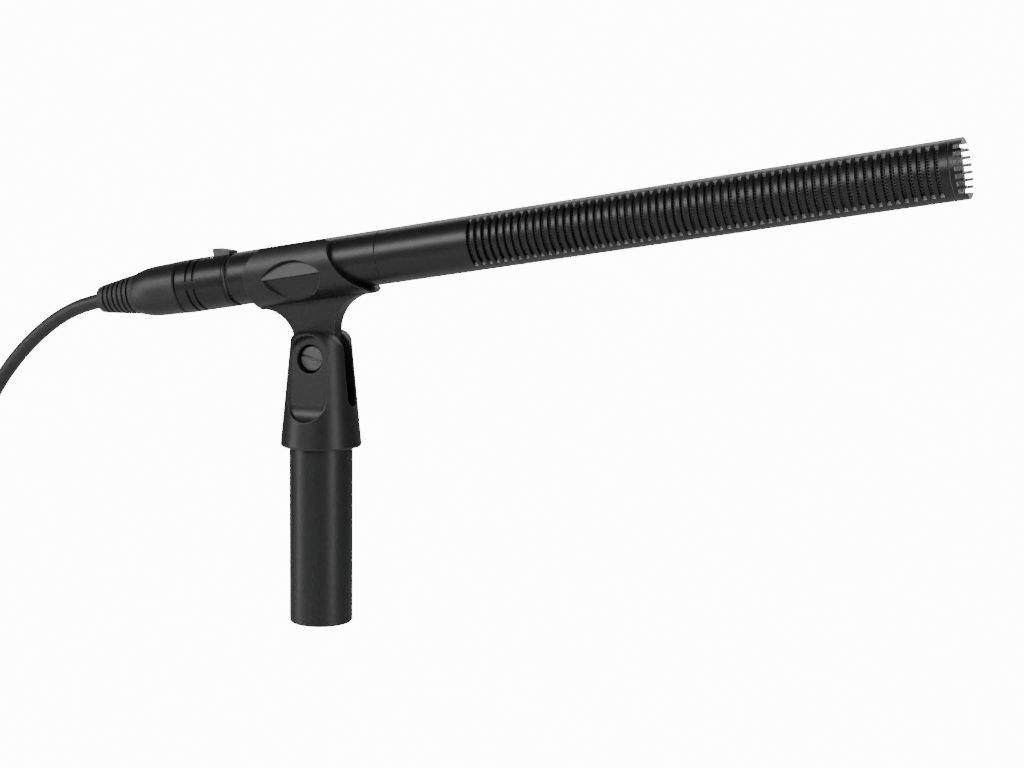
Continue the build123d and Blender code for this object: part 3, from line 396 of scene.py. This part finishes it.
# The lining is a black sheet of painted shade inside the rolled sheet.
finishes["lining"] = finish("painted shade lining", (0.006, 0.006, 0.006), 0.9, tone=0.3, edge_radius=0)
for part in frame["record"]["subparts"]:
    solid = nodes[part["node"]]
    solid.data.materials.clear()
    solid.data.materials.append(finishes[part["material_slot"]])
for name in highlighted_wall_finishes:
    nodes[name].data.materials[0] = finishes[name]
print("finishes:", len(finishes))

# %% [markdown]
# ## The cable
#
# The cable leaves the boot in line with the microphone, bends down under its own weight and hangs to
# a coil that is tied up for storage, well to the left. It is one NURBS curve: the points below guide
# the hanging part, and the coil's turns are worked out. Each turn lies in one of fifteen places, five
# side by side and three deep, and slides over to the next place within a short sector. That sector
# comes a little earlier each turn, so that a place is always empty before the next turn takes it.

# %% The cable's route
cable_diameter = 5.5 * MM
hanging = np.array([
    (-84.1, 0.0, 113.04), (-97.6, 0.0, 110.79), (-113.5, 0.0, 104.0), (-131.0, 0.0, 90.0),
    (-146.5, 0.0, 70.5), (-155.5, 0.0, 45.0), (-158.6, 0.0, 16.0), (-158.9, 0.0, -14.0),
])
coil_centre = np.array((-194.9, 0.0, -20.0))
turn_radii = (36.0, 30.5, 25.0)
turn_places = (-11.0, -5.5, 0.0, 5.5, 11.0)
order = [
    (0, 2), (0, 3), (0, 4), (1, 4), (2, 4), (2, 3), (1, 3), (1, 2), (2, 2), (2, 1), (2, 0), (1, 0),
    (1, 1), (0, 1), (0, 0),
]


def coil_points(points_per_turn=24, turns=14, sector=20.0):
    """Points of a wound coil: an angle runs clockwise, and radius and side place step along `order`.

    Each step is a straight ramp over one sector, from the first at 313 degrees to the last at 48
    degrees past the thirteenth turn, clear of where the cable comes in and where it leaves.
    """
    angle = np.arange(1, turns * points_per_turn + 1) * (360.0 / points_per_turn)
    starts = np.linspace(313.0, 13 * 360.0 + 48.0, len(order) - 1)
    stops = np.array([(turn_radii[depth], turn_places[column]) for depth, column in order])
    steps = np.diff(stops, axis=0)
    share = np.clip((angle[:, None] - starts[None, :]) / sector + 0.5, 0.0, 1.0)
    radius, sideways = (stops[0] + share @ steps).T
    turned = np.radians(angle)
    offset = np.stack((radius * np.cos(turned), sideways, -radius * np.sin(turned)), axis=-1)
    return coil_centre + offset


leaving = np.array([(-158.9, -10.9, -27.0), (-158.9, -10.75, -38.0), (-158.9, -10.75, -51.0)])
route = np.concatenate((hanging, coil_points(), leaving)) * MM
cable_data = bpy.data.curves.new("cable", "CURVE")
cable_data.dimensions = "3D"
spline = cable_data.splines.new("NURBS")
spline.points.add(len(route) - 1)
spline.points.foreach_set("co", np.column_stack((route, np.ones(len(route)))).ravel())
spline.order_u = 3
spline.use_endpoint_u = True
spline.resolution_u = 4
cable = bpy.data.objects.new("cable", cable_data)
bpy.context.scene.collection.objects.link(cable)


# %% Measure the cable, then give it its thickness
def curve_line(curve_object):
    """The points of a curve that has no thickness yet, in order."""
    drawn = curve_object.evaluated_get(bpy.context.evaluated_depsgraph_get())
    line = bpy.data.meshes.new_from_object(drawn)
    points = np.empty(len(line.vertices) * 3)
    line.vertices.foreach_get("co", points)
    bpy.data.meshes.remove(line)
    return points.reshape(-1, 3)


cable_line = curve_line(cable)
cable_data.bevel_depth = cable_diameter / 2
cable_data.bevel_resolution = 4
cable_data.use_fill_caps = True
ride_on(cable, "plug", finishes["cable_black"])
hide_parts("cable_tube", "cable_coil", "cable_tail")

# %% [markdown]
# ## The fabric tie
#
# A strip of hook-and-loop tape goes round the bundle of turns. Its section is a rounded box as wide
# as the bundle, carried a full turn round and a little more, so that its end overlaps its start and
# lies one thickness higher.

# %% Tie
tie_angle = math.radians(64.0)
tie_width = 15.0 * MM
tie_thickness = 1.1 * MM


def tie_points(steps=97, across=9):
    """A strip round a rounded box: x and y of the box are a superellipse, power 5, of the turn angle.

    The strip's inner face is the first half of each row and its outer face the second half, and its
    height over the bundle grows by one thickness over the last tenth of the way round.
    """
    share = np.linspace(0.0, 1.12, steps)
    turn_angle = share * 2 * math.pi
    cosine, sine = np.cos(turn_angle), np.sin(turn_angle)
    swell = (np.abs(cosine) ** 5 + np.abs(sine) ** 5) ** (-1 / 5)
    lift = np.clip((share - 0.9) / 0.1, 0.0, 1.0) * (tie_thickness + 0.2 * MM)
    place = np.linspace(-0.5, 0.5, across)
    crown = 0.25 * MM * (1 - (2 * place) ** 2)
    inner_face = np.stack((place, np.zeros(across)), axis=-1)
    outer_face = np.stack((place[::-1], tie_thickness + crown), axis=-1)
    section = np.concatenate((inner_face, outer_face))
    radial_size = (8.6 * MM + lift[:, None] + section[None, :, 1]) * swell[:, None] * cosine[:, None]
    sideways = (14.1 * MM + lift[:, None] + section[None, :, 1]) * swell[:, None] * sine[:, None]
    length = np.broadcast_to(tie_width * section[None, :, 0], sideways.shape)
    outward = np.array((math.cos(tie_angle), 0.0, math.sin(tie_angle)))
    around = np.array((-math.sin(tie_angle), 0.0, math.cos(tie_angle)))
    centre = coil_centre * MM + outward * 30.5 * MM
    points = (
        centre + radial_size[..., None] * outward + length[..., None] * around
        + sideways[..., None] * np.array((0.0, 1.0, 0.0))
    )
    return points.reshape(-1, 3), steps, 2 * across


points, rows, columns = tie_points()
faces = grid_faces(rows, columns, close_columns=True)
end_caps = [list(range(columns))[::-1], list(range((rows - 1) * columns, rows * columns))]
tie_mesh = bpy.data.meshes.new("tie")
tie_mesh.from_pydata(points.tolist(), [], faces.tolist() + end_caps)
tie_mesh.update()
tie = bpy.data.objects.new("tie", tie_mesh)
bpy.context.scene.collection.objects.link(tie)
ride_on(tie, "plug", finishes["tie_fabric"])
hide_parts("cable_tie")

# %% [markdown]
# ## What the cable joins
#
# The cable is a free cord: it starts at the end of the boot on the microphone's plug, and ends in
# the plug for the mixer, whose parts and tie go with it.

# %% [markdown]
# ## The perforated sheets
#
# Behind the slots is a thin rolled sheet with hundreds of fine staggered holes. Holes on a honeycomb
# pattern give each one a six-sided cell of its own, so a cell is six four-sided faces between its rim
# and its hole. All corners are worked out flat, corners that two cells share are made one, and only
# then is the sheet rolled to the tube's radius.

# %% [markdown]
# The tube's sheet is rolled from 48 holes round and one column every 0.87 mm. Around the tube, `v` is
# an angle, so the last row meets the first: rows are counted round the circle before the corners are
# made one. It is cut in two half way, because each half then stays light to draw.

# %% Roll the tube's sheet
mesh_radius = 7.72 * MM
mesh_wall = 0.3 * MM
holes_round = 48
hole_radius = 0.3 * MM
column_pitch = 0.87 * MM
row_pitch = 2 * math.pi * mesh_radius / holes_round


def rolled_sheet(first_column, last_column, start):
    """Cells of columns along x and rows round v, rolled to the tube: the angle is v over the radius.

    A cell is a hexagon with a point at each end: its corners are a third and two thirds of a column
    from its middle along x, and half a row or nothing from it round v.
    """
    column, row = np.meshgrid(np.arange(first_column, last_column), np.arange(holes_round), indexing="ij")
    centres = np.stack((column * column_pitch, (row + 0.5 * (column % 2)) * row_pitch), axis=-1)
    half_row = row_pitch / 2
    sixth = np.arange(6)
    rim_x = np.array((1 / 3, -1 / 3, -2 / 3, -1 / 3, 1 / 3, 2 / 3)) * column_pitch
    rim_v = np.array((1, 1, 0, -1, -1, 0)) * half_row
    flat = centres.reshape(-1, 2)
    outer_x = flat[:, :1] + rim_x[None, :]
    outer_v = (flat[:, 1:] + rim_v[None, :]) % (2 * math.pi * mesh_radius)
    hole_angle = np.radians(60.0 + 60.0 * sixth)
    hole_x = flat[:, :1] + hole_radius * np.cos(hole_angle)[None, :]
    hole_v = flat[:, 1:] + hole_radius * np.sin(hole_angle)[None, :]
    steps_round = 2 * holes_round
    key_v = np.round(outer_v / half_row).astype(np.int64) % steps_round
    key_x = np.round(outer_x / column_pitch * 3).astype(np.int64)
    keys = np.stack((key_x.ravel(), key_v.ravel()), axis=-1)
    _, first, same = np.unique(keys, axis=0, return_index=True, return_inverse=True)
    count = len(flat)
    rim_number = same.reshape(count, 6)
    hole_number = len(first) + np.arange(count * 6).reshape(count, 6)
    ahead = np.roll(sixth, -1)
    faces = np.stack(
        (rim_number, rim_number[:, ahead], hole_number[:, ahead], hole_number), axis=-1
    ).reshape(-1, 4)
    x = np.concatenate((outer_x.ravel()[first], hole_x.ravel())) + start
    v = np.concatenate((outer_v.ravel()[first], hole_v.ravel()))
    angle = v / mesh_radius
    points = (
        rear_rim + x[:, None] * along
        + mesh_radius * (np.cos(angle)[:, None] * above + np.sin(angle)[:, None] * towards)
    )
    return points, faces


sheet_start, sheet_end = 93.5 * MM, 252.5 * MM
column_count = int((sheet_end - sheet_start) / column_pitch)
half_way = column_count // 2
sheet_halves = (("tube_sheet_rear", 0, half_way), ("tube_sheet_front", half_way, column_count))
for name, first_column, last_column in sheet_halves:
    points, faces = rolled_sheet(first_column, last_column, sheet_start)
    sheet = mesh_piece(name, points, faces)
    wall = sheet.modifiers.new("wall", "SOLIDIFY")
    wall.thickness = mesh_wall
    wall.offset = 0.0
    ride_on(sheet, "microphone", finishes["mesh_black"])
    if first_column == 0:
        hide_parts("tube_mesh")

# %% [markdown]
# A thin black sheet lines the rolled sheet as painted shade, so that its holes look into the dark
# rather than through to the far side.

# %% Painted shade lining
lining_radius = 7.45 * MM
lining_wall = 0.12 * MM


def lining_points(around=48, rings=32):
    """Rings of radius `lining_radius` about the microphone's axis: a plain rolled cylinder."""
    station = np.linspace(sheet_start, sheet_end, rings)[:, None, None]
    angle = np.linspace(0.0, 2 * math.pi, around, endpoint=False)[None, :, None]
    ring = np.cos(angle) * above + np.sin(angle) * towards
    return (rear_rim + station * along + lining_radius * ring).reshape(-1, 3), rings, around


points, rows, columns = lining_points()
lining = mesh_piece("sheet_lining", points, grid_faces(rows, columns, close_columns=True))
shade_sheet_wall = lining.modifiers.new("wall", "SOLIDIFY")
shade_sheet_wall.thickness = lining_wall
shade_sheet_wall.offset = -1.0
ride_on(lining, "microphone", finishes["lining"])

# %% [markdown]
# The disc in the nose is the same sheet, left flat. Corners that fall outside its circle are pulled
# in to the edge, and cells too near the edge get a hole of no size, so that the rim is solid.

# %% Nose disc
disc_radius = 6.85 * MM
disc_box = np.array(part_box("nose_mesh"))
disc_station = float(np.dot((disc_box[0] + disc_box[1]) / 2 - rear_rim, along))


def nose_disc():
    """Honeycomb cells in a circle, square to the microphone's axis at `disc_station`."""
    pitch = 1.0 * MM
    number = np.arange(-9, 10)
    column, row = np.meshgrid(number, number, indexing="ij")
    flat = np.stack((column * pitch * 0.866, (row + 0.5 * (column % 2)) * pitch), axis=-1).reshape(-1, 2)
    flat = flat[np.hypot(flat[:, 0], flat[:, 1]) < disc_radius + 0.3 * pitch]
    rim_x = np.array((1 / 3, -1 / 3, -2 / 3, -1 / 3, 1 / 3, 2 / 3)) * pitch * 0.866
    rim_y = np.array((1, 1, 0, -1, -1, 0)) * pitch / 2
    outer = flat[:, None, :] + np.stack((rim_x, rim_y), axis=-1)[None]
    keys = np.round(outer.reshape(-1, 2) / (0.05 * MM)).astype(np.int64)
    _, first, same = np.unique(keys, axis=0, return_index=True, return_inverse=True)
    hole_angle = np.radians(60.0 + 60.0 * np.arange(6))
    size = np.where(np.hypot(flat[:, 0], flat[:, 1]) < disc_radius - 0.6 * pitch, 0.33 * MM, 0.02 * MM)
    ring = np.stack((np.cos(hole_angle), np.sin(hole_angle)), axis=-1)
    inner = flat[:, None, :] + size[:, None, None] * ring[None]
    plane = np.concatenate((outer.reshape(-1, 2)[first], inner.reshape(-1, 2)))
    reach = np.hypot(plane[:, 0], plane[:, 1])
    plane *= np.minimum(1.0, disc_radius / np.maximum(reach, 1e-9))[:, None]
    rim_number = same.reshape(len(flat), 6)
    hole_number = len(first) + np.arange(len(flat) * 6).reshape(len(flat), 6)
    ahead = np.roll(np.arange(6), -1)
    faces = np.stack((rim_number, hole_number, hole_number[:, ahead], rim_number[:, ahead]), axis=-1)
    points = rear_rim + disc_station * along + plane[:, :1] * towards + plane[:, 1:] * above
    return points, faces.reshape(-1, 4)


points, faces = nose_disc()
disc = mesh_piece("nose_sheet", points, faces)
wall = disc.modifiers.new("wall", "SOLIDIFY")
wall.thickness = mesh_wall
wall.offset = 0.0
ride_on(disc, "microphone", finishes["mesh_black"])
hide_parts("nose_mesh")

# %% [markdown]
# ## The thread in the stand tube
#
# The solid model's socket is plain. A thread is a bore whose radius goes in and out as it climbs, so
# it needs no carried profile: one surface, with the radius a zigzag of height less the share of a
# turn. It is 5/8 inch across, with 27 turns to the inch.

# %% Thread
thread_radius = 7.93 * MM
thread_pitch = 25.4 * MM / 27
thread_depth = 0.5 * MM
thread_start, thread_end = 0.3 * MM, 19.5 * MM


def thread_points(around=72, steps_per_turn=6):
    """Radius = thread radius - depth x zigzag(height / pitch - angle / full turn), wrapped round."""
    rows = int(thread_end / thread_pitch * steps_per_turn)
    z = np.linspace(thread_start, thread_end, rows)[:, None]
    angle = np.linspace(0.0, 2 * math.pi, around, endpoint=False)[None, :]
    phase = (z / thread_pitch - angle / (2 * math.pi)) % 1.0
    radius = thread_radius - thread_depth * (1.0 - np.abs(2.0 * phase - 1.0))
    grid = np.stack(np.broadcast_arrays(radius * np.cos(angle), radius * np.sin(angle), z), axis=-1)
    return grid.reshape(-1, 3), rows, around


points, rows, columns = thread_points()
inward_faces = grid_faces(rows, columns, close_columns=True)[:, ::-1]
thread = mesh_piece("socket_thread", points, inward_faces)
ride_on(thread, "stand", finishes["stand_steel"])

# %% [markdown]
# ## Light and floor
#
# A pale floor that curves up into a wall has no edge to see. The paper shows itself to the camera as
# bright white, and passes only ordinary reflected light to the object, which would otherwise look
# washed out. The world beyond the paper does the same. Two tall soft lamps left and right draw the
# upright highlights of a black round thing, one behind and above lights the tube's upper edge, and a
# wide one in front, high up, gives the long light along it.

# %% Floor and world
floor_height = -0.32
front_edge, wall_distance, wall_height, half_width = -4.0, 3.0, 4.0, 5.0
curve_radius = 0.8
camera_glow = 14.0
room_light = 0.09
glow_share = 0.97


def sweep_points(columns=2, steps=24):
    """A flat floor, a quarter circle of `curve_radius` and a wall, each row the same from left to right."""
    angle = np.linspace(0.0, math.pi / 2, steps)
    curve_y = wall_distance - curve_radius + curve_radius * np.sin(angle)
    curve_z = curve_radius - curve_radius * np.cos(angle)
    y = np.concatenate(([front_edge], curve_y, [wall_distance]))
    z = np.concatenate(([0.0], curve_z, [wall_height])) + floor_height
    x = np.linspace(-half_width, half_width, columns)
    grid = np.stack(np.broadcast_arrays(x[None, :], y[:, None], z[:, None]), axis=-1)
    return grid.reshape(-1, 3), len(y), columns


points, rows, columns = sweep_points()
floor = mesh_piece("floor", points, grid_faces(rows, columns))
paper = bpy.data.materials.new("white paper")
paper.use_nodes = True
paper_tree = paper.node_tree
matt = paper_tree.nodes["Principled BSDF"]
matt.inputs["Base Color"].default_value = (0.85, 0.85, 0.85, 1)
matt.inputs["Roughness"].default_value = 0.9
glow = paper_tree.nodes.new("ShaderNodeEmission")
glow.inputs["Strength"].default_value = camera_glow
seen = paper_tree.nodes.new("ShaderNodeLightPath")
blend = paper_tree.nodes.new("ShaderNodeMixShader")
share_seen = maths(paper_tree, "MULTIPLY", seen.outputs["Is Camera Ray"], glow_share)
paper_tree.links.new(share_seen, blend.inputs["Fac"])
paper_tree.links.new(matt.outputs["BSDF"], blend.inputs[1])
paper_tree.links.new(glow.outputs["Emission"], blend.inputs[2])
paper_tree.links.new(blend.outputs["Shader"], paper_tree.nodes["Material Output"].inputs["Surface"])
floor.data.materials.append(paper)

world = bpy.data.worlds.new("white room")
world.use_nodes = True
sky = world.node_tree.nodes["Background"]
sky.inputs["Color"].default_value = (1.0, 1.0, 1.0, 1.0)
seen_by = world.node_tree.nodes.new("ShaderNodeLightPath")
sky_strength = world.node_tree.nodes.new("ShaderNodeMapRange")
sky_strength.inputs["To Min"].default_value = room_light
sky_strength.inputs["To Max"].default_value = camera_glow
world.node_tree.links.new(seen_by.outputs["Is Camera Ray"], sky_strength.inputs["Value"])
world.node_tree.links.new(sky_strength.outputs["Result"], sky.inputs["Strength"])
bpy.context.scene.world = world


# %% Lamps
def lamp(name, place, aim, size, power):
    """A rectangular area lamp, `size` metres wide and high, at `place`, turned to face `aim`."""
    data = bpy.data.lights.new(name, "AREA")
    data.shape = "RECTANGLE"
    data.size, data.size_y = size
    data.energy = power
    light = bpy.data.objects.new(name, data)
    light.location = place
    light.rotation_euler = (Vector(aim) - Vector(place)).to_track_quat("-Z", "Y").to_euler()
    bpy.context.scene.collection.objects.link(light)
    return light


middle = (0.06, 0.0, 0.1)
lamp("left", (-1.2, -0.75, 0.3), middle, (0.35, 1.4), 8.0)
lamp("right", (1.35, -0.5, 0.35), middle, (0.35, 1.4), 9.0)
lamp("behind", (0.0, 0.9, 0.9), middle, (1.8, 0.4), 6.0)
lamp("front", (-0.45, -1.5, 0.95), middle, (1.6, 0.6), 25.0)
